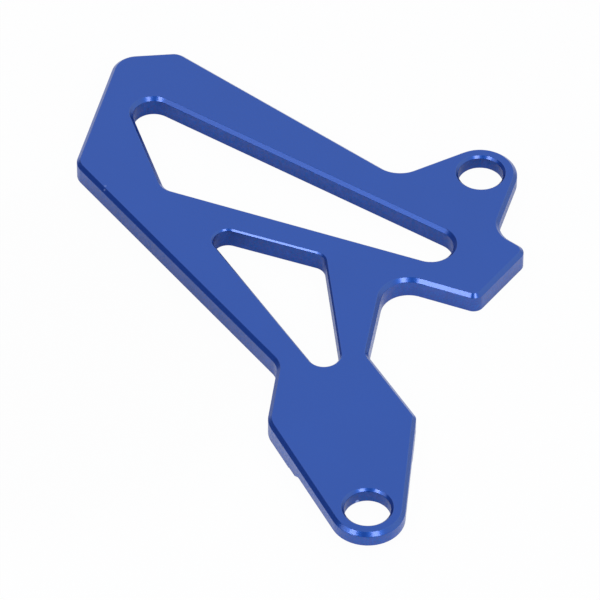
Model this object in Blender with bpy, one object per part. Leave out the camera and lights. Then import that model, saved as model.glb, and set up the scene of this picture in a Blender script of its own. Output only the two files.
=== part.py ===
"""Sprocket cover plate of a motorcycle, machined from one flat aluminium plate.

The plate lies flat on its underside, +Z up, with its origin under the middle of its bounding box.
Its outline, slot, window and bolt holes are drawn from above, with zero at the front bolt hole.
"""

import math

import bmesh
import bpy
from mathutils import Vector

MM = 0.001

# Plate and its machined edges, all chamfers at 45 degrees
PLATE_THICKNESS = 6.0 * MM
OUTLINE_CHAMFER = 1.0 * MM
SLOT_CHAMFER = 1.0 * MM
WINDOW_CHAMFER = 0.5 * MM
BOLT_HOLE_CHAMFER = 0.7 * MM
UNDERSIDE_EDGE_BREAK = 0.25 * MM

# Bolt holes and the round lugs about them
BOLT_HOLE_DIAMETER = 12.0 * MM
LUG_RADIUS = 9.75 * MM
REAR_BOLT_ACROSS = 30.6 * MM
REAR_BOLT_ALONG = 123.7 * MM
FRONT_BOLT = Vector((0.0, 0.0))
REAR_BOLT = Vector((REAR_BOLT_ACROSS, REAR_BOLT_ALONG))

# Round reliefs milled into the underside about the bolts, each with a flank that flares towards
# the underside, and a shallow step outside the front one
LUG_THICKNESS = 4.3 * MM
FRONT_RELIEF_RADIUS = 23.0 * MM
REAR_RELIEF_RADIUS = 21.0 * MM
RELIEF_FLARE = 2.4 * MM
STEP_RELIEF_RADIUS = 28.0 * MM
STEP_RELIEF_DEPTH = 0.6 * MM

# Corners of the outline, counter-clockwise: x and y in mm, then the radius of the corner
CORNERS_FRONT_TO_REAR_BOLT = (
    (12.7, 32.9, 2.5),
    (0.3, 55.1, 4.0),
    (5.3, 85.5, 7.5),
    (29.2, 76.0, 3.0),
    (42.6, 94.7, 3.0),
    (34.3, 101.5, 7.0),
)
CORNERS_REAR_TO_FRONT_BOLT = (
    (8.2, 122.7, 7.5),
    (-50.7, 170.8, 4.5),
    (-67.5, 169.2, 7.0),
    (-77.8, 126.8, 5.5),
    (-23.2, 51.3, 6.0),
    (-25.8, 30.7, 8.0),
)

# Round ends of the slot and of the window, counter-clockwise: x and y in mm, then the radius
SLOT_ENDS = (
    (17.0, 96.3, 6.0),
    (-57.2, 146.4, 5.5),
    (-50.4, 120.6, 4.2),
)
WINDOW_ENDS = (
    (-11.2, 54.8, 4.2),
    (-14.6, 89.1, 3.8),
    (-36.6, 97.2, 3.9),
)

# Finish: blue anodised aluminium, as a linear colour
ANODISED_BLUE = (0.045, 0.107, 0.407, 1.0)
ROUGHNESS = 0.4

# How the shapes are drawn: turn of each facet of an arc, the edge angle that shading keeps sharp,
# and how far a cutter runs past the faces that it cuts
ARC_STEP = math.radians(4.0)
SHARP_EDGE_ANGLE = math.radians(20.0)
CUTTER_MARGIN = 1.0 * MM


def sharp_corner(x, y, radius):
    """A corner of the outline, given where its two edges would meet, and rounded by radius."""
    return {"point": Vector((x, y)) * MM, "reach": 0.0, "fillet": radius * MM}


def round_end(centre, radius):
    """A stretch of the outline that runs round a centre, with its two edges tangent to it."""
    return {"point": centre, "reach": radius, "fillet": None}


def edge_normal(start, end):
    """Angle of the outward normal of the edge that leaves start and touches end, both on its left."""
    along = end["point"] - start["point"]
    lean = math.acos((start["reach"] - end["reach"]) / along.length)
    return math.atan2(along.y, along.x) - lean


def direction(angle):
    return Vector((math.cos(angle), math.sin(angle)))


def trace_outline(stations):
    """Turn corners and round ends into arcs: centre, signed radius, first normal and turn.

    A point of an arc is its centre plus the signed radius along the outward normal, so a hollow
    arc has a negative radius, and the whole outline is inset by taking one length off each radius.
    """
    arcs = []
    for index, station in enumerate(stations):
        incoming = edge_normal(stations[index - 1], station)
        outgoing = edge_normal(station, stations[(index + 1) % len(stations)])
        turn = (outgoing - incoming + math.pi) % math.tau - math.pi
        if station["fillet"] is None:
            centre, radius = station["point"], station["reach"]
        else:
            radius = math.copysign(station["fillet"], turn)
            normals = direction(incoming) + direction(outgoing)
            centre = station["point"] - normals * (radius / (1.0 + math.cos(turn)))
        arcs.append((centre, radius, incoming, turn))
    return arcs


def full_circle(centre, radius):
    return [(centre, radius, 0.0, math.tau)]


def outline_points(arcs, inset):
    """Points of an outline, moved inwards by inset, always as many whatever the inset."""
    points = []
    for centre, radius, first_normal, turn in arcs:
        steps = max(2, math.ceil(abs(turn) / ARC_STEP))
        closed = math.isclose(turn, math.tau)
        for step in range(steps if closed else steps + 1):
            normal = direction(first_normal + turn * step / steps)
            points.append(centre + normal * (radius - inset))
    return points


def stacked_body(name, arcs, levels):
    """A closed body through one outline at several levels, each a height and an inset."""
    body = bmesh.new()
    rings = []
    for height, inset in levels:
        rings.append([body.verts.new((point.x, point.y, height)) for point in outline_points(arcs, inset)])
    for lower, upper in zip(rings, rings[1:]):
        for index in range(len(lower)):
            following = (index + 1) % len(lower)
            body.faces.new((lower[index], lower[following], upper[following], upper[index]))
    body.faces.new(reversed(rings[0]))
    body.faces.new(rings[-1])
    mesh = bpy.data.meshes.new(name)
    body.to_mesh(mesh)
    body.free()
    solid = bpy.data.objects.new(name, mesh)
    bpy.context.collection.objects.link(solid)
    return solid


def as_cutter(solid):
    solid.hide_render = True
    solid.display_type = "WIRE"
    return solid


def cut(solid, cutter):
    modifier = solid.modifiers.new(cutter.name, "BOOLEAN")
    modifier.operation = "DIFFERENCE"
    modifier.solver = "EXACT"
    modifier.object = as_cutter(cutter)


def plate_outline():
    """Outline of the plate: straight edges between rounded corners, and a round lug at each bolt."""
    stations = [round_end(FRONT_BOLT, LUG_RADIUS)]
    stations += [sharp_corner(*corner) for corner in CORNERS_FRONT_TO_REAR_BOLT]
    stations += [round_end(REAR_BOLT, LUG_RADIUS)]
    stations += [sharp_corner(*corner) for corner in CORNERS_REAR_TO_FRONT_BOLT]
    return trace_outline(stations)


def opening_outline(ends):
    return trace_outline([round_end(Vector((x, y)) * MM, radius * MM) for x, y, radius in ends])


def edged_levels(bottom, edge_break, chamfer):
    """Levels of a body whose wall starts at bottom with an edge break and ends in a chamfer."""
    return (
        (bottom, edge_break),
        (bottom + edge_break, 0.0),
        (PLATE_THICKNESS - chamfer, 0.0),
        (PLATE_THICKNESS, chamfer),
    )


def opening_cutter(name, arcs, bottom, chamfer):
    """Cutter for an opening, flared past both faces at the slope of its chamfer and edge break."""
    below = bottom - CUTTER_MARGIN
    above = PLATE_THICKNESS + CUTTER_MARGIN
    return stacked_body(name, arcs, (
        (below, -UNDERSIDE_EDGE_BREAK - CUTTER_MARGIN),
        (bottom + UNDERSIDE_EDGE_BREAK, 0.0),
        (PLATE_THICKNESS - chamfer, 0.0),
        (above, -chamfer - CUTTER_MARGIN),
    ))


def lug_relief_cutter(name, bolt, radius, outline):
    """Cone up to the lug's underside, radius wide there, with a lip that breaks the lug's edge."""
    seat = PLATE_THICKNESS - LUG_THICKNESS
    slope = RELIEF_FLARE / seat
    lip = seat + UNDERSIDE_EDGE_BREAK + CUTTER_MARGIN / 2
    cutter = stacked_body(name, full_circle(bolt, radius), (
        (-CUTTER_MARGIN, -slope * (seat + CUTTER_MARGIN)),
        (lip, slope * (lip - seat)),
    ))
    kept_core = stacked_body(name + "_core", outline, (
        (seat, UNDERSIDE_EDGE_BREAK),
        (lip + CUTTER_MARGIN, UNDERSIDE_EDGE_BREAK - (lip + CUTTER_MARGIN - seat)),
    ))
    cut(cutter, kept_core)
    return cutter


def anodised_aluminium():
    material = bpy.data.materials.new("blue_anodised_aluminium")
    material.use_nodes = True
    shader = material.node_tree.nodes["Principled BSDF"]
    shader.inputs["Base Color"].default_value = ANODISED_BLUE
    shader.inputs["Metallic"].default_value = 1.0
    shader.inputs["Roughness"].default_value = ROUGHNESS
    return material


def make_cover_plate(outline):
    lug_seat = PLATE_THICKNESS - LUG_THICKNESS
    plate = stacked_body("cover_plate", outline, edged_levels(0.0, UNDERSIDE_EDGE_BREAK, OUTLINE_CHAMFER))

    cut(plate, opening_cutter("slot_cutter", opening_outline(SLOT_ENDS), 0.0, SLOT_CHAMFER))
    cut(plate, opening_cutter("window_cutter", opening_outline(WINDOW_ENDS), 0.0, WINDOW_CHAMFER))
    step_levels = ((-CUTTER_MARGIN, 0.0), (STEP_RELIEF_DEPTH, 0.0))
    cut(plate, stacked_body("step_relief_cutter", full_circle(FRONT_BOLT, STEP_RELIEF_RADIUS), step_levels))
    lugs = (("front", FRONT_BOLT, FRONT_RELIEF_RADIUS), ("rear", REAR_BOLT, REAR_RELIEF_RADIUS))
    for end, bolt, relief_radius in lugs:
        cut(plate, lug_relief_cutter(end + "_relief_cutter", bolt, relief_radius, outline))
        hole = full_circle(bolt, BOLT_HOLE_DIAMETER / 2)
        cut(plate, opening_cutter(end + "_hole_cutter", hole, lug_seat, BOLT_HOLE_CHAMFER))

    plate.data.materials.append(anodised_aluminium())
    plate.data.shade_smooth()
    plate.data.set_sharp_from_angle(angle=SHARP_EDGE_ANGLE)


def centre_on_origin(outline):
    """Move every body so that the middle of the plate's bounding box stands over the origin."""
    points = outline_points(outline, 0.0)
    middle_x = (min(point.x for point in points) + max(point.x for point in points)) / 2
    middle_y = (min(point.y for point in points) + max(point.y for point in points)) / 2
    for body in bpy.context.scene.objects:
        body.location = (-middle_x, -middle_y, 0.0)


def main():
    for leftover in list(bpy.data.objects):
        bpy.data.objects.remove(leftover, do_unlink=True)
    outline = plate_outline()
    make_cover_plate(outline)
    centre_on_origin(outline)


main()
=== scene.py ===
"""Looks of a milled and anodised aluminium cover plate, laid out as a Blender add-on.

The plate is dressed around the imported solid: its outlines are read from the solid's wall tops, and
a Geometry Nodes tree carries the section of the edge round them, closes the body with two flat
faces and mills the reliefs of the lugs. The stage holds a pale floor, two soft lamps, a dim panel
and a camera. Lengths are in metres, +Z up, with the plate's underside on the floor.
"""

import math

import bmesh
import bpy
from bpy.props import FloatProperty, FloatVectorProperty, PointerProperty
from mathutils import Euler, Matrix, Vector


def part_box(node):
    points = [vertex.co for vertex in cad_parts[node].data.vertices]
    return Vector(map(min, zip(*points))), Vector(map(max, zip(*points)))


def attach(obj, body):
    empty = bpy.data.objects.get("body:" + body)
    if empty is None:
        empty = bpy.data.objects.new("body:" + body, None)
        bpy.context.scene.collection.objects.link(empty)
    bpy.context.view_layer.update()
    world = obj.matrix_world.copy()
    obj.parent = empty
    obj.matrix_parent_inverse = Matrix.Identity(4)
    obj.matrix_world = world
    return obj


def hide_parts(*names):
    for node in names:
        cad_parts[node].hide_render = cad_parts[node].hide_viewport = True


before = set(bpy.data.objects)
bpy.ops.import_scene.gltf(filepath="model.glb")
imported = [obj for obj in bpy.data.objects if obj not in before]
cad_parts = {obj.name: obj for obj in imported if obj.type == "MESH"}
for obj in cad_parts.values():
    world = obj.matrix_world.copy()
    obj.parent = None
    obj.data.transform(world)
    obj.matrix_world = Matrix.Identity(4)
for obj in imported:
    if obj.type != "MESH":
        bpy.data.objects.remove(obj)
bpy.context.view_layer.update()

bl_info = {
    "name": "Anodised Cover Plate",
    "version": (1, 0, 0),
    "blender": (4, 5, 0),
    "location": "3D View > Sidebar > Cover Plate",
    "description": "Makes a milled, anodised cover plate and the studio stage it lies on",
    "category": "Object",
}

MM = 0.001
PLATE_NODE = "cover_plate"
BODY = "root"

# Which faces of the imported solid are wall, chamfer or flat, by the upward part of their normal
WALL_SLOPE = 0.25
FLAT_SLOPE = 0.995
WELD_DISTANCE = 0.001 * MM
ROUND_TOLERANCE = 0.01 * MM

# Place of the plate's own outline among the outlines, which are sorted by their count of points
PLATE_OUTLINE = 0

# Facets of a rounded edge, and the strip beside it that keeps a wide face shaded flat
ROUNDING_STEPS = 3
GUARD_STRIP = 0.03 * MM
QUARTER_TURN = math.pi / 2
EDGE_TURN = math.pi / 4

# Round cutters of the reliefs under the lugs
RELIEF_FACETS = 120
CUTTER_MARGIN = 1.0 * MM
SHARP_TURN = math.radians(30.0)


class Signal:
    """A socket that takes part in Python arithmetic; each operation adds a Math node."""

    def __init__(self, graph, socket):
        self.graph = graph
        self.socket = socket

    def _math(self, operation, first, second):
        return self.graph.node("ShaderNodeMath", {"operation": operation}, {0: first, 1: second})

    def __add__(self, other):
        return self._math("ADD", self, other)

    def __radd__(self, other):
        return self._math("ADD", other, self)

    def __sub__(self, other):
        return self._math("SUBTRACT", self, other)

    def __rsub__(self, other):
        return self._math("SUBTRACT", other, self)

    def __mul__(self, other):
        return self._math("MULTIPLY", self, other)

    def __rmul__(self, other):
        return self._math("MULTIPLY", other, self)

    def __truediv__(self, other):
        return self._math("DIVIDE", self, other)

    def __lt__(self, other):
        return self._math("LESS_THAN", self, other)

    def __gt__(self, other):
        return self._math("GREATER_THAN", self, other)


class Graph:
    """Adds nodes to a shader or geometry tree: type, settings first, then inputs."""

    def __init__(self, tree):
        self.tree = tree

    def node(self, kind, settings=None, inputs=None, output=0):
        """Add a node and return its output, or a tuple of outputs when output is a tuple."""
        made = self.tree.nodes.new(kind)
        for name, value in (settings or {}).items():
            if name == "capture_items":
                for item_kind, item_name in value:
                    made.capture_items.new(item_kind, item_name)
            else:
                setattr(made, name, value)
        for name, value in (inputs or {}).items():
            self.feed(made.inputs[name], value)
        if isinstance(output, tuple):
            return tuple(Signal(self, made.outputs[name]) for name in output)
        return Signal(self, made.outputs[output])

    def feed(self, socket, value):
        """Link one signal, or several in a list, to a socket, or set its plain value."""
        if isinstance(value, list):
            for signal in value:
                self.tree.links.new(signal.socket, socket)
        elif isinstance(value, Signal):
            self.tree.links.new(value.socket, socket)
        else:
            socket.default_value = value


class PlateSizes(bpy.types.PropertyGroup):
    """Sizes of the plate that its packed outlines don't give."""

    edge_rounding: FloatProperty(
        name="Edge Rounding",
        description="Radius left on every machined edge by tumbling and anodising",
        default=0.2 * MM, min=0.05 * MM, max=0.25 * MM, subtype="DISTANCE", unit="LENGTH",
    )
    underside_break: FloatProperty(
        name="Underside Break",
        description="Width of the small 45 degree break round the underside",
        default=0.25 * MM, min=0.2 * MM, max=0.5 * MM, subtype="DISTANCE", unit="LENGTH",
    )
    lug_thickness: FloatProperty(
        name="Lug Thickness",
        description="Thickness left over the reliefs at the two bolt holes",
        default=4.3 * MM, min=3.0 * MM, max=5.5 * MM, subtype="DISTANCE", unit="LENGTH",
    )
    front_relief_radius: FloatProperty(
        name="Front Relief Radius",
        description="Radius, at the lug's underside, of the round relief milled about the front bolt",
        default=23.0 * MM, min=20.0 * MM, max=24.0 * MM, subtype="DISTANCE", unit="LENGTH",
    )
    rear_relief_radius: FloatProperty(
        name="Rear Relief Radius",
        description="Radius, at the lug's underside, of the round relief milled about the rear bolt",
        default=21.0 * MM, min=18.0 * MM, max=21.5 * MM, subtype="DISTANCE", unit="LENGTH",
    )
    relief_flare: FloatProperty(
        name="Relief Flare",
        description="How much wider a relief is at the plate's underside than at the lug's",
        default=2.4 * MM, min=0.5 * MM, max=2.5 * MM, subtype="DISTANCE", unit="LENGTH",
    )
    step_relief_radius: FloatProperty(
        name="Step Relief Radius",
        description="Radius of the shallow step outside the front relief",
        default=28.0 * MM, min=25.0 * MM, max=35.0 * MM, subtype="DISTANCE", unit="LENGTH",
    )
    step_relief_depth: FloatProperty(
        name="Step Relief Depth",
        description="Depth of the shallow step outside the front relief",
        default=0.6 * MM, min=0.3 * MM, max=1.2 * MM, subtype="DISTANCE", unit="LENGTH",
    )


def is_between_wall_and_chamfer(edge):
    slopes = sorted(abs(face.normal.z) for face in edge.link_faces)
    return len(slopes) == 2 and slopes[0] < WALL_SLOPE < slopes[1] < FLAT_SLOPE


def read_outlines(node):
    """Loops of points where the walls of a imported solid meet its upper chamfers, the longest first.

    Each loop runs with the material on its left. A wall seen from outside has its top edge running
    the other way, so each edge is turned round.
    """
    solid = bmesh.new()
    solid.from_mesh(node.data)
    bmesh.ops.remove_doubles(solid, verts=solid.verts, dist=WELD_DISTANCE)
    solid.normal_update()
    middle_height = sum(vert.co.z for vert in solid.verts) / len(solid.verts)
    following = {}
    for edge in solid.edges:
        if min(vert.co.z for vert in edge.verts) < middle_height or not is_between_wall_and_chamfer(edge):
            continue
        wall_corner = min(edge.link_loops, key=lambda corner: abs(corner.face.normal.z))
        following[wall_corner.link_loop_next.vert] = wall_corner.vert
    loops = []
    while following:
        start = next(iter(following))
        loop = [start]
        while following[loop[-1]] is not start:
            loop.append(following.pop(loop[-1]))
        following.pop(loop[-1])
        loops.append([vert.co.copy() for vert in loop])
    solid.free()
    return sorted(loops, key=len, reverse=True)


def centre_of(loop):
    return sum(loop, Vector()) / len(loop)


def is_round(loop):
    """Whether every point of a loop lies as far from its centre as the others do."""
    reaches = [(point - centre_of(loop)).length for point in loop]
    return max(reaches) - min(reaches) < ROUND_TOLERANCE


def outline_curve(name, loops):
    """A curve object of closed loops, drawn at the height where wall and chamfer meet."""
    curve = bpy.data.curves.new(name, "CURVE")
    curve.dimensions = "3D"
    for loop in loops:
        spline = curve.splines.new("POLY")
        spline.points.add(len(loop) - 1)
        spline.use_cyclic_u = True
        for point, place in zip(spline.points, loop):
            point.co = (*place, 1.0)
    drawn = bpy.data.objects.new(name, curve)
    bpy.context.scene.collection.objects.link(drawn)
    return drawn


def edge_step_group():
    """Node group that draws the open rim of a band out to the next level of the edge's section."""
    tree = bpy.data.node_groups.new("Edge Step", "GeometryNodeTree")
    for name, kind in (
        ("Mesh", "NodeSocketGeometry"), ("Rim", "NodeSocketBool"), ("Drawn Place", "NodeSocketVector"),
        ("Inward", "NodeSocketVector"), ("Inset", "NodeSocketFloat"), ("Height", "NodeSocketFloat"),
    ):
        tree.interface.new_socket(name, in_out="INPUT", socket_type=kind)
    tree.interface.new_socket("Mesh", in_out="OUTPUT", socket_type="NodeSocketGeometry")
    tree.interface.new_socket("Rim", in_out="OUTPUT", socket_type="NodeSocketBool")
    graph = Graph(tree)
    mesh, rim, drawn_place, inward, inset, height = graph.node(
        "NodeGroupInput", output=("Mesh", "Rim", "Drawn Place", "Inward", "Inset", "Height"))
    drawn, new_rim = graph.node(
        "GeometryNodeExtrudeMesh", {"mode": "EDGES"},
        {"Mesh": mesh, "Selection": rim, "Offset Scale": 0.0}, ("Mesh", "Top"))
    placed = graph.node("GeometryNodeSetPosition", inputs={
        "Geometry": drawn,
        "Selection": new_rim,
        "Position": place_at_level(graph, drawn_place, inward, (inset, height)),
    })
    graph.node("NodeGroupOutput", inputs={"Mesh": placed, "Rim": new_rim}, output=())
    return tree


def place_at_level(graph, drawn_place, inward, level):
    """Places of the outline's points at one level of a section: moved inwards, and at a height."""
    inset, height = level
    across = graph.node("ShaderNodeVectorMath", {"operation": "SCALE"}, {"Vector": inward, "Scale": inset})
    upward = graph.node("ShaderNodeCombineXYZ", inputs={"Z": height})
    flat_place = graph.node(
        "ShaderNodeVectorMath", {"operation": "MULTIPLY"}, {0: drawn_place, 1: (1.0, 1.0, 0.0)})
    moved = graph.node("ShaderNodeVectorMath", {"operation": "ADD"}, {0: flat_place, 1: across})
    return graph.node("ShaderNodeVectorMath", {"operation": "ADD"}, {0: moved, 1: upward})


def rounded_corner(inset, height, heading, radius):
    """Points of a corner of the section, rounded over an eighth of a turn to the left.

    The section lies in a plane of inset and height, with the material on its left, and heading is
    the way it goes before the corner.
    """
    inwards = heading + EDGE_TURN / 2 + QUARTER_TURN
    reach = 1.0 / math.cos(EDGE_TURN / 2)
    points = []
    for step in range(ROUNDING_STEPS + 1):
        outwards = heading + EDGE_TURN * step / ROUNDING_STEPS - QUARTER_TURN
        points.append((
            inset + radius * (reach * math.cos(inwards) + math.cos(outwards)),
            height + radius * (reach * math.sin(inwards) + math.sin(outwards)),
        ))
    return points


def guard_point(point, heading, distance):
    inset, height = point
    return inset + distance * math.cos(heading), height + distance * math.sin(heading)


def edge_section(thickness, chamfer, underside_break, radius):
    """Section of the plate's edge from its top face down to its underside, as inset and height."""
    corners = (
        (chamfer, thickness),
        (0.0, thickness - chamfer),
        (0.0, underside_break),
        (underside_break, 0.0),
    )
    section = []
    heading = 2 * QUARTER_TURN
    for inset, height in corners:
        arc = rounded_corner(inset, height, heading, radius)
        if section:
            section.append(guard_point(section[-1], heading, GUARD_STRIP))
            section.append(guard_point(arc[0], heading, -GUARD_STRIP))
        section += arc
        heading += EDGE_TURN
    return section


def flat_face(graph, outlines, place, height, faces_down):
    """The flat face inside the outlines, once they are moved to their places at a height."""
    ring = graph.node("GeometryNodeSetPosition", inputs={"Geometry": outlines, "Position": place})
    filled = graph.node("GeometryNodeFillCurve", {"mode": "TRIANGLES"}, {"Curve": ring})
    if faces_down:
        filled = graph.node("GeometryNodeFlipFaces", inputs={"Mesh": filled})
    lift = graph.node("ShaderNodeCombineXYZ", inputs={"Z": height})
    return graph.node("GeometryNodeTransform", inputs={"Geometry": filled, "Translation": lift})


def body_through(graph, outlines, drawn_place, inward, section, edge_step):
    """Closed body whose edge follows a section, from the top face down, all round the outlines."""
    places = [place_at_level(graph, drawn_place, inward, level) for level in (section[0], section[-1])]
    top_ring = graph.node("GeometryNodeSetPosition", inputs={"Geometry": outlines, "Position": places[0]})
    band = graph.node("GeometryNodeCurveToMesh", inputs={"Curve": top_ring})
    rim = True
    for inset, height in section[1:]:
        band, rim = graph.node(
            "GeometryNodeGroup", {"node_tree": edge_step},
            {"Mesh": band, "Rim": rim, "Drawn Place": drawn_place, "Inward": inward,
             "Inset": inset, "Height": height},
            ("Mesh", "Rim"))
    top = flat_face(graph, outlines, places[0], section[0][1], faces_down=False)
    bottom = flat_face(graph, outlines, places[1], section[-1][1], faces_down=True)
    joined = graph.node("GeometryNodeJoinGeometry", inputs={"Geometry": [band, top, bottom]})
    return graph.node("GeometryNodeMergeByDistance", inputs={"Geometry": joined, "Distance": WELD_DISTANCE})


def round_cutter(graph, centre, foot_radius, top_radius, top):
    """Round cutter, straight or conical, that comes up from below the plate to the height of top."""
    cone = graph.node("GeometryNodeMeshCone", inputs={
        "Vertices": RELIEF_FACETS,
        "Radius Bottom": foot_radius,
        "Radius Top": top_radius,
        "Depth": top + CUTTER_MARGIN,
    })
    foot = graph.node(
        "ShaderNodeVectorMath", {"operation": "ADD"}, {0: centre, 1: (0.0, 0.0, -CUTTER_MARGIN)})
    return graph.node("GeometryNodeTransform", inputs={"Geometry": cone, "Translation": foot})


def cut_from(graph, body, cutter):
    cut = graph.node(
        "GeometryNodeMeshBoolean", {"operation": "DIFFERENCE", "solver": "EXACT"},
        {"Mesh 1": body, "Mesh 2": [cutter]})
    return graph.node("GeometryNodeMergeByDistance", inputs={"Geometry": cut, "Distance": WELD_DISTANCE})


PLATE_INPUTS = (
    ("Outlines", "NodeSocketGeometry"),
    ("Thickness", "NodeSocketFloat"),
    ("Edge Rounding", "NodeSocketFloat"),
    ("Underside Break", "NodeSocketFloat"),
    ("Lug Thickness", "NodeSocketFloat"),
    ("Front Relief Radius", "NodeSocketFloat"),
    ("Rear Relief Radius", "NodeSocketFloat"),
    ("Relief Flare", "NodeSocketFloat"),
    ("Step Relief Radius", "NodeSocketFloat"),
    ("Step Relief Depth", "NodeSocketFloat"),
    ("Front Bolt", "NodeSocketVector"),
    ("Rear Bolt", "NodeSocketVector"),
    ("Finish", "NodeSocketMaterial"),
)


def plate_tree():
    """Tree that makes the plate from its outlines: edge, flat faces, reliefs and finish marks."""
    tree = bpy.data.node_groups.new("Milled Plate", "GeometryNodeTree")
    for name, kind in PLATE_INPUTS:
        tree.interface.new_socket(name, in_out="INPUT", socket_type=kind)
    tree.interface.new_socket("Plate", in_out="OUTPUT", socket_type="NodeSocketGeometry")
    graph = Graph(tree)
    (outlines, thickness, rounding, underside_break, lug_thickness, front_radius, rear_radius, flare,
     step_radius, step_depth, front_bolt, rear_bolt, finish) = graph.node(
        "NodeGroupInput", output=tuple(name for name, kind in PLATE_INPUTS))

    edge_step = edge_step_group()
    inward = graph.node(
        "ShaderNodeVectorMath", {"operation": "CROSS_PRODUCT"},
        {0: (0.0, 0.0, 1.0), 1: graph.node("GeometryNodeInputTangent")})
    outlines, inward = captured(graph, outlines, inward, "VECTOR", "POINT")
    outlines, drawn_place = captured(
        graph, outlines, graph.node("GeometryNodeInputPosition"), "VECTOR", "POINT")
    is_opening = graph.node("GeometryNodeInputIndex") > PLATE_OUTLINE
    outlines, opening = captured(graph, outlines, is_opening, "FLOAT", "CURVE")
    drawn_height = graph.node("ShaderNodeSeparateXYZ", inputs={0: drawn_place}, output="Z")
    chamfer = thickness - drawn_height

    section = edge_section(thickness, chamfer, underside_break, rounding)
    plate = body_through(graph, outlines, drawn_place, inward, section, edge_step)
    plate = marked(graph, plate, "opening", opening)
    step_cutter = round_cutter(graph, front_bolt, step_radius, step_radius, step_depth)
    plate = cut_from(graph, plate, step_cutter)

    seat = thickness - lug_thickness
    slope = flare / seat
    lip = seat + underside_break + CUTTER_MARGIN / 2
    core_top = lip + CUTTER_MARGIN
    kept_core_section = [(underside_break - (core_top - seat), core_top), (underside_break, seat)]
    kept_core = body_through(graph, outlines, drawn_place, inward, kept_core_section, edge_step)
    for bolt, radius in ((front_bolt, front_radius), (rear_bolt, rear_radius)):
        foot_radius = radius + slope * (seat + CUTTER_MARGIN)
        top_radius = radius - slope * (lip - seat)
        relief_cutter = round_cutter(graph, bolt, foot_radius, top_radius, lip)
        plate = cut_from(graph, plate, cut_from(graph, relief_cutter, kept_core))

    plate = marked_for_finish(graph, plate)
    plate = graph.node("GeometryNodeRealizeInstances", inputs={"Geometry": plate})
    plate = graph.node("GeometryNodeSetMaterial", inputs={"Geometry": plate, "Material": finish})
    graph.node("NodeGroupOutput", inputs={"Plate": plate}, output=())
    return tree


def captured(graph, geometry, value, kind, domain):
    """Keep a value on a domain of the geometry, and return the geometry and the kept value."""
    return graph.node(
        "GeometryNodeCaptureAttribute", {"domain": domain, "capture_items": [(kind, "Kept")]},
        {"Geometry": geometry, "Kept": value}, ("Geometry", "Kept"))


def marked(graph, body, name, value):
    """Store a value on the faces of a body, for its material."""
    return graph.node(
        "GeometryNodeStoreNamedAttribute", {"domain": "FACE", "data_type": "FLOAT"},
        {"Geometry": body, "Name": name, "Value": value})


def marked_for_finish(graph, body):
    """Mark walls and chamfers for the material, and shade flat what is flat."""
    normal = graph.node("GeometryNodeInputNormal", output="True Normal")
    upward = graph.node("ShaderNodeSeparateXYZ", inputs={0: normal}, output="Z")
    steepness = graph.node("ShaderNodeMath", {"operation": "ABSOLUTE"}, {0: upward})
    is_wall = steepness < WALL_SLOPE
    is_cut = steepness < FLAT_SLOPE
    body = marked(graph, body, "wall", is_wall)
    body = marked(graph, body, "chamfer", is_cut - is_wall)
    body = graph.node(
        "GeometryNodeSetShadeSmooth", {"domain": "FACE"}, {"Geometry": body, "Shade Smooth": is_cut})
    turn = graph.node("GeometryNodeInputMeshEdgeAngle", output="Unsigned Angle")
    return graph.node(
        "GeometryNodeSetShadeSmooth", {"domain": "EDGE"},
        {"Geometry": body, "Selection": turn > SHARP_TURN, "Shade Smooth": False})


class COVER_OT_mill_plate(bpy.types.Operator):
    """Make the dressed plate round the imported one, with rounded edges and its anodised finish"""

    bl_idname = "cover_plate.mill_plate"
    bl_label = "Mill Plate"
    bl_options = {"REGISTER", "UNDO"}

    def execute(self, context):
        sizes = context.scene.cover_plate_sizes
        low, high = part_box(PLATE_NODE)
        loops = read_outlines(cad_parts[PLATE_NODE])
        bolts = sorted((centre_of(loop) for loop in loops if is_round(loop)), key=lambda place: place.y)
        drawn = outline_curve("cover_plate_outlines", loops)
        values = {
            "Thickness": high.z - low.z,
            "Edge Rounding": sizes.edge_rounding,
            "Underside Break": sizes.underside_break,
            "Lug Thickness": sizes.lug_thickness,
            "Front Relief Radius": sizes.front_relief_radius,
            "Rear Relief Radius": sizes.rear_relief_radius,
            "Relief Flare": sizes.relief_flare,
            "Step Relief Radius": sizes.step_relief_radius,
            "Step Relief Depth": sizes.step_relief_depth,
            "Front Bolt": (bolts[0].x, bolts[0].y, 0.0),
            "Rear Bolt": (bolts[-1].x, bolts[-1].y, 0.0),
            "Finish": anodised_aluminium(context.scene.cover_plate_finish),
        }
        plate = baked(drawn, plate_tree(), values, "milled_cover_plate")
        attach(plate, BODY)
        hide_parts(PLATE_NODE)
        return {"FINISHED"}


def baked(drawn, tree, values, name):
    """Run a tree on an object and return its result as a plain mesh object at the origin."""
    modifier = drawn.modifiers.new(tree.name, "NODES")
    modifier.node_group = tree
    for socket in tree.interface.items_tree:
        if socket.in_out == "INPUT" and socket.name in values:
            modifier[socket.identifier] = values[socket.name]
    evaluated = drawn.evaluated_get(bpy.context.evaluated_depsgraph_get())
    mesh = bpy.data.meshes.new_from_object(evaluated)
    mesh.name = name
    made = bpy.data.objects.new(name, mesh)
    bpy.context.scene.collection.objects.link(made)
    bpy.data.objects.remove(drawn)
    return made


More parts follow.
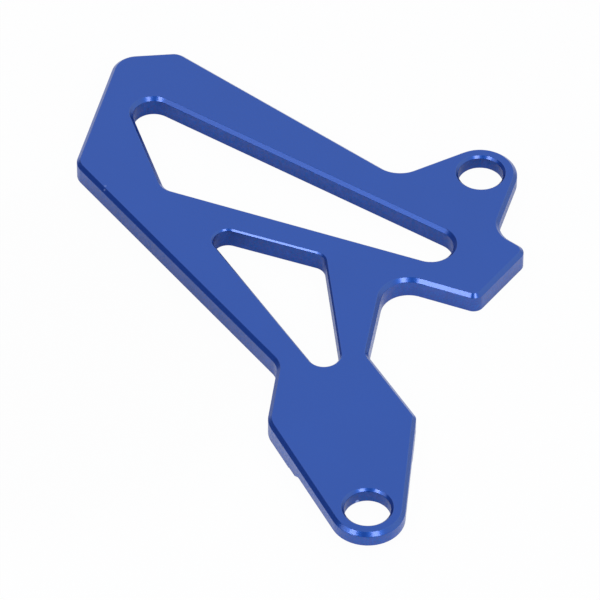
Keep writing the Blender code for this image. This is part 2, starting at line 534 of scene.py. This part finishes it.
class PlateFinish(bpy.types.PropertyGroup):
    """Colours and gloss of the anodised finish."""

    face_colour: FloatVectorProperty(
        name="Face Colour",
        description="Dyed aluminium of the blasted faces",
        default=(0.002, 0.084, 0.489), min=0.0, max=1.0, size=3, subtype="COLOR",
    )
    chamfer_colour: FloatVectorProperty(
        name="Chamfer Colour",
        description="Dyed aluminium of the cut chamfers",
        default=(0.004, 0.093, 0.477), min=0.0, max=1.0, size=3, subtype="COLOR",
    )
    wall_colour: FloatVectorProperty(
        name="Wall Colour",
        description="Dyed aluminium of the milled walls, which take less of the dye",
        default=(0.012, 0.083, 0.47), min=0.0, max=1.0, size=3, subtype="COLOR",
    )
    dull_colour: FloatVectorProperty(
        name="Dull Colour",
        description="Dyed aluminium in the duller grains of the milled walls",
        default=(0.03, 0.14, 0.43), min=0.0, max=1.0, size=3, subtype="COLOR",
    )
    nick_colour: FloatVectorProperty(
        name="Nick Colour",
        description="Aluminium where a nick has taken off most of the dye",
        default=(0.42, 0.55, 0.95), min=0.0, max=1.0, size=3, subtype="COLOR",
    )
    face_roughness: FloatProperty(
        name="Face Roughness",
        description="Roughness of the blasted faces, and the middle roughness of the milled walls",
        default=0.4, min=0.0, max=1.0, subtype="FACTOR",
    )
    cut_roughness: FloatProperty(
        name="Cut Roughness",
        description="Roughness of the cut chamfers",
        default=0.36, min=0.0, max=1.0, subtype="FACTOR",
    )
    coat_roughness: FloatProperty(
        name="Coat Roughness",
        description="Roughness of the sealed oxide layer over the dye",
        default=0.2, min=0.0, max=1.0, subtype="FACTOR",
    )


def mixed_colour(graph, share, first, second):
    return graph.node("ShaderNodeMix", {"data_type": "RGBA"}, {0: share, 6: first, 7: second}, 2)


def opaque(colour):
    return (*colour, 1.0)


def noise(graph, place, grain):
    """A noise about GRAIN_MEAN, with a grain given as its count to the millimetre and its detail."""
    scale, detail = grain
    return graph.node(
        "ShaderNodeTexNoise", inputs={"Vector": place, "Scale": scale, "Detail": detail}, output="Fac")


def smooth_range(graph, value, start, end, first, last):
    """Go smoothly from first to last while a value goes from start to end."""
    return graph.node(
        "ShaderNodeMapRange", {"interpolation_type": "SMOOTHSTEP"},
        {"Value": value, "From Min": start, "From Max": end, "To Min": first, "To Max": last})


def speck(graph, place, centre, radius):
    """A mask of 1 at a point in millimetres, falling to 0 at a radius."""
    reach = graph.node("ShaderNodeVectorMath", {"operation": "DISTANCE"}, {0: place, 1: centre}, "Value")
    return smooth_range(graph, reach, radius * NICK_CORE, radius, 1.0, 0.0)


# Grains of the finish, each as its count to the millimetre and its detail
BLAST_GRAIN = (5.0, 2.0)
MOTTLE_GRAIN = (0.06, 1.0)
FEED_GRAIN = (2.6, 2.0)
PATCH_GRAIN = (0.7, 2.0)
SPARKLE_GRAIN = (1.9, 3.0)
GRAIN_MEAN = 0.5

# The feed marks run up the walls, so that only this share of their count is left in that direction
FEED_MARK_RISE = 0.06

# How much the grains lighten and darken the colour
MOTTLE_SHADE = 0.06
FEED_SHADE = 0.25
PATCH_SHADE = 0.4
SPARKLE_SHADE = 0.8

# How much they roughen and smooth the surface, and how high they stand in millimetres
BLAST_ROUGHENING = 0.04
FEED_ROUGHENING = 0.2
SPARKLE_ROUGHENING = 0.2
BLAST_HEIGHT = 0.0015
FEED_HEIGHT = 0.002

# The duller grains of the walls: the sparkle where they start and where they are dullest
DULL_START = 0.42
DULL_END = 0.62
DULLEST = 0.55

# Refraction of the clear oxide layer
COAT_IOR = 1.65

# How much less of the clear layer shows on the blasted faces than on what was cut
BLASTED_COAT_LOSS = 0.3

# On the walls of the openings, painted shade: how much darker their colour is painted, and how much less
# clear layer shows to dim their reflection
OPENING_PAINTED_SHADE = 0.16
OPENING_COAT_LOSS = 0.3

# Nicks in the dyed layer, as place and radius in millimetres and the share of dye that is gone: one
# beside the left chamfer and one on it, and one on the lower rim of the front bolt hole. The core is
# the share of the radius within which a nick is deepest.
NICK_CORE = 0.4
NICKS = (
    ((-51.55, 37.19, 6.0), 0.5, 0.2),
    ((-51.73, 36.08, 5.58), 0.4, 0.75),
    ((15.33, -75.06, 2.25), 0.75, 0.9),
)


def anodised_aluminium(finish):
    """Dyed metal under a clear oxide layer: blasted faces, bright chamfers and milled walls."""
    material = bpy.data.materials.new("blue_anodised_aluminium")
    material.use_nodes = True
    material.node_tree.nodes.clear()
    graph = Graph(material.node_tree)

    metres = graph.node("ShaderNodeTexCoord", output="Object")
    place = graph.node(
        "ShaderNodeVectorMath", {"operation": "SCALE"}, {"Vector": metres, "Scale": 1.0 / MM})
    wall = graph.node("ShaderNodeAttribute", {"attribute_name": "wall"}, output="Fac")
    chamfer = graph.node("ShaderNodeAttribute", {"attribute_name": "chamfer"}, output="Fac")
    opening = graph.node("ShaderNodeAttribute", {"attribute_name": "opening"}, output="Fac")
    blasted = 1.0 - wall - chamfer

    blast_grain = noise(graph, place, BLAST_GRAIN)
    mottle = noise(graph, place, MOTTLE_GRAIN)
    upright = graph.node(
        "ShaderNodeVectorMath", {"operation": "MULTIPLY"}, {0: place, 1: (1.0, 1.0, FEED_MARK_RISE)})
    feed_marks = noise(graph, upright, FEED_GRAIN)
    patches = noise(graph, place, PATCH_GRAIN)
    sparkle = noise(graph, place, SPARKLE_GRAIN)
    dull = smooth_range(graph, sparkle, DULL_START, DULL_END, 0.0, DULLEST)

    smooth_colour = mixed_colour(graph, chamfer, opaque(finish.face_colour), opaque(finish.chamfer_colour))
    wall_colour = mixed_colour(graph, dull, opaque(finish.wall_colour), opaque(finish.dull_colour))
    colour = mixed_colour(graph, wall, smooth_colour, wall_colour)
    milling = (
        (feed_marks - GRAIN_MEAN) * FEED_SHADE
        + (patches - GRAIN_MEAN) * PATCH_SHADE
        + (sparkle - GRAIN_MEAN) * SPARKLE_SHADE)
    mottling = (mottle - GRAIN_MEAN) * MOTTLE_SHADE
    # The walls of the openings are darkened here as painted shade
    shade = 1.0 + mottling + wall * milling - wall * opening * OPENING_PAINTED_SHADE
    colour = graph.node("ShaderNodeVectorMath", {"operation": "SCALE"}, {"Vector": colour, "Scale": shade})
    nicked = 0.0
    for centre, radius, depth in NICKS:
        nicked = nicked + speck(graph, place, centre, radius) * depth
    colour = mixed_colour(graph, nicked, colour, opaque(finish.nick_colour))

    roughness = (
        finish.face_roughness
        + chamfer * (finish.cut_roughness - finish.face_roughness)
        + (blast_grain - GRAIN_MEAN) * BLAST_ROUGHENING
        + wall * (feed_marks - GRAIN_MEAN) * FEED_ROUGHENING
        + wall * (sparkle - GRAIN_MEAN) * SPARKLE_ROUGHENING)
    # Less clear layer on the walls of the openings dims their reflection, as painted shade
    coat = 1.0 - blasted * BLASTED_COAT_LOSS - wall * (dull + opening * OPENING_COAT_LOSS)
    relief = blasted * blast_grain * BLAST_HEIGHT + wall * feed_marks * FEED_HEIGHT
    bumped = graph.node("ShaderNodeBump", inputs={"Strength": 1.0, "Distance": MM, "Height": relief})
    shader = graph.node("ShaderNodeBsdfPrincipled", inputs={
        "Base Color": colour,
        "Metallic": 1.0,
        "Roughness": roughness,
        "Normal": bumped,
        "Coat Weight": coat,
        "Coat Roughness": finish.coat_roughness,
        "Coat IOR": COAT_IOR,
    })
    graph.node("ShaderNodeOutputMaterial", inputs={"Surface": shader}, output=())
    return material


class StudioSetup(bpy.types.PropertyGroup):
    """Camera, lamps and floor of the stage."""

    focal_length: FloatProperty(
        name="Focal Length",
        description="Focal length of the camera, for a sensor 36 mm wide",
        default=420.0, min=50.0, max=1000.0, subtype="DISTANCE_CAMERA", unit="CAMERA",
    )
    camera_distance: FloatProperty(
        name="Camera Distance",
        description="Distance from the camera to the middle of the plate",
        default=1.8421, min=0.5, max=5.0, subtype="DISTANCE", unit="LENGTH",
    )
    camera_elevation: FloatProperty(
        name="Camera Elevation",
        description="Angle of the camera above the floor",
        default=math.radians(44.6), min=0.0, max=QUARTER_TURN, subtype="ANGLE", unit="ROTATION",
    )
    camera_roll: FloatProperty(
        name="Camera Roll",
        description="Turn of the camera about its own axis",
        default=math.radians(0.3), min=-0.1, max=0.1, subtype="ANGLE", unit="ROTATION",
    )
    lamp_power: FloatProperty(
        name="Lamp Power",
        description="Power of each of the two soft lamps beside the camera",
        default=1.38, min=0.0, max=100.0, subtype="POWER", unit="POWER",
    )
    panel_power: FloatProperty(
        name="Panel Power",
        description="Power of the dim reflector panel beside the left lamp",
        default=0.45, min=0.0, max=100.0, subtype="POWER", unit="POWER",
    )
    room_level: FloatProperty(
        name="Room Level",
        description="Brightness of the room behind and to the right of the plate",
        default=0.83, min=0.0, max=2.0, subtype="FACTOR",
    )
    shade_level: FloatProperty(
        name="Shade Level",
        description="Brightness of the room to the left of the plate and behind the camera",
        default=0.2, min=0.0, max=2.0, subtype="FACTOR",
    )


# Where the camera looks
CAMERA_TARGET = Vector((0.457, 0.41, 0.0)) * MM

# Lamps and panel, as directions from the plate
LAMP_DISTANCE = 1.0
LAMP_WIDTH = 0.265
LAMP_DIRECTIONS = {
    "left_lamp": Vector((-0.48, -0.567, 0.667)),
    "right_lamp": Vector((0.30, -0.66, 0.69)),
}
PANEL_WIDTH = 0.36
PANEL_DIRECTION = Vector((-0.74, -0.34, 0.58))

WHITE = (1.0, 1.0, 1.0, 1.0)

# The floor's disc, and how much white it shows to the camera and, from back to front, in the metal, where
# the rise towards the front is painted light
FLOOR_RADIUS = 3.0
FLOOR_FACETS = 96
FLOOR_GAP = 0.02 * MM
WHITE_SHARE = 0.97
FLOOR_FRONT_SIDE = (0.3, -0.95, 0.0)
FLOOR_BACK_REACH = -20.0 * MM
FLOOR_FRONT_REACH = 45.0 * MM
BACK_MIRRORED_SHARE = 0.16
FRONT_MIRRORED_SHARE = 0.32

# The floor's colour, with a painted shadow: darker round a spot to the left of the plate
PAINTED_SHADOW_SPOT = Vector((-70.0, -20.0, 0.0)) * MM
PAINTED_SHADOW_RADIUS = 50.0 * MM
PAINTED_SHADOW_REACH = 75.0 * MM
PAINTED_SHADOW_LEVEL = 0.7
PALE_FLOOR = 0.95

# The room in the metal: its bright side, how far towards it the shade ends and the full light starts,
# the tint of the shade, and the heights between which the dim horizon gives way to the room
BRIGHT_SIDE = (0.62, 0.68, 0.39)
SHADE_END = -0.25
LIT_START = 0.6
SHADE_TINT = (0.66, 0.86, 1.58)
HORIZON_FOOT = -0.1
HORIZON_TOP = 0.35
HORIZON_SHARE = 0.35


def aimed(name, data, place, direction):
    """Put a lamp or a camera at a place, looking along a direction."""
    made = bpy.data.objects.new(name, data)
    made.location = place
    made.rotation_mode = "QUATERNION"
    made.rotation_quaternion = direction.to_track_quat("-Z", "Y")
    bpy.context.scene.collection.objects.link(made)
    return made


def soft_lamp(name, direction, width, power):
    """A square lamp in one direction from the plate, facing it."""
    lamp = bpy.data.lights.new(name, "AREA")
    lamp.shape = "SQUARE"
    lamp.size = width
    lamp.energy = power
    aimed(name, lamp, direction.normalized() * LAMP_DISTANCE, -direction)


def rays(graph, kind):
    """A mask of 1 on the rays of one kind."""
    return graph.node("ShaderNodeLightPath", output=kind)


def studio_floor():
    """Pale floor that shows white to the camera and partly in the metal, and keeps the shadow; it has a
    painted shadow to its left and painted light to its front.
    """
    material = bpy.data.materials.new("studio_floor")
    material.use_nodes = True
    material.node_tree.nodes.clear()
    graph = Graph(material.node_tree)
    place = graph.node("ShaderNodeTexCoord", output="Object")
    # Painted shadow: the floor's colour is darker round a spot to the left of the plate
    from_shadow_spot = graph.node(
        "ShaderNodeVectorMath", {"operation": "DISTANCE"}, {0: place, 1: PAINTED_SHADOW_SPOT}, "Value")
    paleness_with_painted_shadow = smooth_range(graph, from_shadow_spot, PAINTED_SHADOW_RADIUS, PAINTED_SHADOW_REACH, PAINTED_SHADOW_LEVEL, PALE_FLOOR)
    pale = graph.node("ShaderNodeCombineColor", inputs={0: paleness_with_painted_shadow, 1: paleness_with_painted_shadow, 2: paleness_with_painted_shadow})
    lit = graph.node("ShaderNodeBsdfDiffuse", inputs={"Color": pale})
    white = graph.node("ShaderNodeEmission", inputs={"Color": WHITE, "Strength": 1.0})
    frontward = graph.node(
        "ShaderNodeVectorMath", {"operation": "DOT_PRODUCT"}, {0: place, 1: FLOOR_FRONT_SIDE}, "Value")
    # More white in the metal towards the front of the floor: a painted pool of light
    mirrored_share = smooth_range(
        graph, frontward, FLOOR_BACK_REACH, FLOOR_FRONT_REACH, BACK_MIRRORED_SHARE, FRONT_MIRRORED_SHARE)
    share = (
        WHITE_SHARE * rays(graph, "Is Camera Ray")
        + mirrored_share * (rays(graph, "Is Glossy Ray") + rays(graph, "Is Transmission Ray")))
    seen_from_above = graph.node("ShaderNodeMixShader", inputs={0: share, 1: lit, 2: white})
    below = graph.node("ShaderNodeNewGeometry", output="Backfacing")
    clear = graph.node("ShaderNodeBsdfTransparent")
    surface = graph.node("ShaderNodeMixShader", inputs={0: below, 1: seen_from_above, 2: clear})
    graph.node("ShaderNodeOutputMaterial", inputs={"Surface": surface}, output=())
    return material


def studio_world(setup):
    """White to the camera, and in the metal a room that is dimmer and bluer on the left."""
    world = bpy.data.worlds.new("studio")
    world.use_nodes = True
    world.node_tree.nodes.clear()
    graph = Graph(world.node_tree)
    direction = graph.node("ShaderNodeTexCoord", output="Generated")
    brightward = graph.node(
        "ShaderNodeVectorMath", {"operation": "DOT_PRODUCT"}, {0: direction, 1: BRIGHT_SIDE}, "Value")
    lit_share = smooth_range(graph, brightward, SHADE_END, LIT_START, 0.0, 1.0)
    room = setup.shade_level + lit_share * (setup.room_level - setup.shade_level)
    upward = graph.node("ShaderNodeSeparateXYZ", inputs={0: direction}, output="Z")
    horizon = smooth_range(graph, upward, HORIZON_FOOT, HORIZON_TOP, HORIZON_SHARE, 1.0)
    white = rays(graph, "Is Camera Ray") + rays(graph, "Is Transmission Ray")
    level = white + (1.0 - white) * room * horizon
    tint = mixed_colour(graph, white + (1.0 - white) * lit_share, opaque(SHADE_TINT), WHITE)
    light = graph.node("ShaderNodeBackground", inputs={"Color": tint, "Strength": level})
    graph.node("ShaderNodeOutputWorld", inputs={"Surface": light}, output=())
    return world


class COVER_OT_set_stage(bpy.types.Operator):
    """Put the floor, the lamps and the camera round the plate"""

    bl_idname = "cover_plate.set_stage"
    bl_label = "Set Stage"
    bl_options = {"REGISTER", "UNDO"}

    def execute(self, context):
        setup = context.scene.cover_plate_studio
        context.scene.world = studio_world(setup)
        context.scene.view_settings.view_transform = "Standard"

        disc = bmesh.new()
        bmesh.ops.create_circle(disc, cap_ends=True, segments=FLOOR_FACETS, radius=FLOOR_RADIUS)
        bmesh.ops.translate(disc, verts=disc.verts, vec=(0.0, 0.0, -FLOOR_GAP))
        mesh = bpy.data.meshes.new("studio_floor")
        disc.to_mesh(mesh)
        disc.free()
        mesh.materials.append(studio_floor())
        floor = bpy.data.objects.new("studio_floor", mesh)
        context.scene.collection.objects.link(floor)

        for name, direction in LAMP_DIRECTIONS.items():
            soft_lamp(name, direction, LAMP_WIDTH, setup.lamp_power)
        soft_lamp("left_panel", PANEL_DIRECTION, PANEL_WIDTH, setup.panel_power)

        camera = bpy.data.cameras.new("studio_camera")
        camera.lens = setup.focal_length
        elevation = setup.camera_elevation
        backward = Vector((0.0, -math.cos(elevation), math.sin(elevation)))
        place = CAMERA_TARGET + backward * setup.camera_distance
        viewer = aimed("studio_camera", camera, place, -backward)
        roll = Euler((0.0, 0.0, setup.camera_roll)).to_quaternion()
        viewer.rotation_quaternion = viewer.rotation_quaternion @ roll
        context.scene.camera = viewer
        return {"FINISHED"}


class COVER_PT_panel(bpy.types.Panel):
    """Sizes, finish and stage of the cover plate, with the operators that make them"""

    bl_idname = "COVER_PT_panel"
    bl_label = "Cover Plate"
    bl_space_type = "VIEW_3D"
    bl_region_type = "UI"
    bl_category = "Cover Plate"

    def draw(self, context):
        layout = self.layout
        for group, operator in (
            (context.scene.cover_plate_sizes, None),
            (context.scene.cover_plate_finish, COVER_OT_mill_plate),
            (context.scene.cover_plate_studio, COVER_OT_set_stage),
        ):
            box = layout.box()
            for name in group.bl_rna.properties.keys():
                if name not in {"rna_type", "name"}:
                    box.prop(group, name)
            if operator:
                box.operator(operator.bl_idname)


CLASSES = (
    PlateSizes, PlateFinish, StudioSetup, COVER_OT_mill_plate, COVER_OT_set_stage, COVER_PT_panel,
)


def register():
    for made in CLASSES:
        bpy.utils.register_class(made)
    bpy.types.Scene.cover_plate_sizes = PointerProperty(type=PlateSizes)
    bpy.types.Scene.cover_plate_finish = PointerProperty(type=PlateFinish)
    bpy.types.Scene.cover_plate_studio = PointerProperty(type=StudioSetup)


def unregister():
    del bpy.types.Scene.cover_plate_studio
    del bpy.types.Scene.cover_plate_finish
    del bpy.types.Scene.cover_plate_sizes
    for made in reversed(CLASSES):
        bpy.utils.unregister_class(made)


def main():
    register()
    bpy.ops.cover_plate.mill_plate()
    bpy.ops.cover_plate.set_stage()


if __name__ == "__main__":
    main()
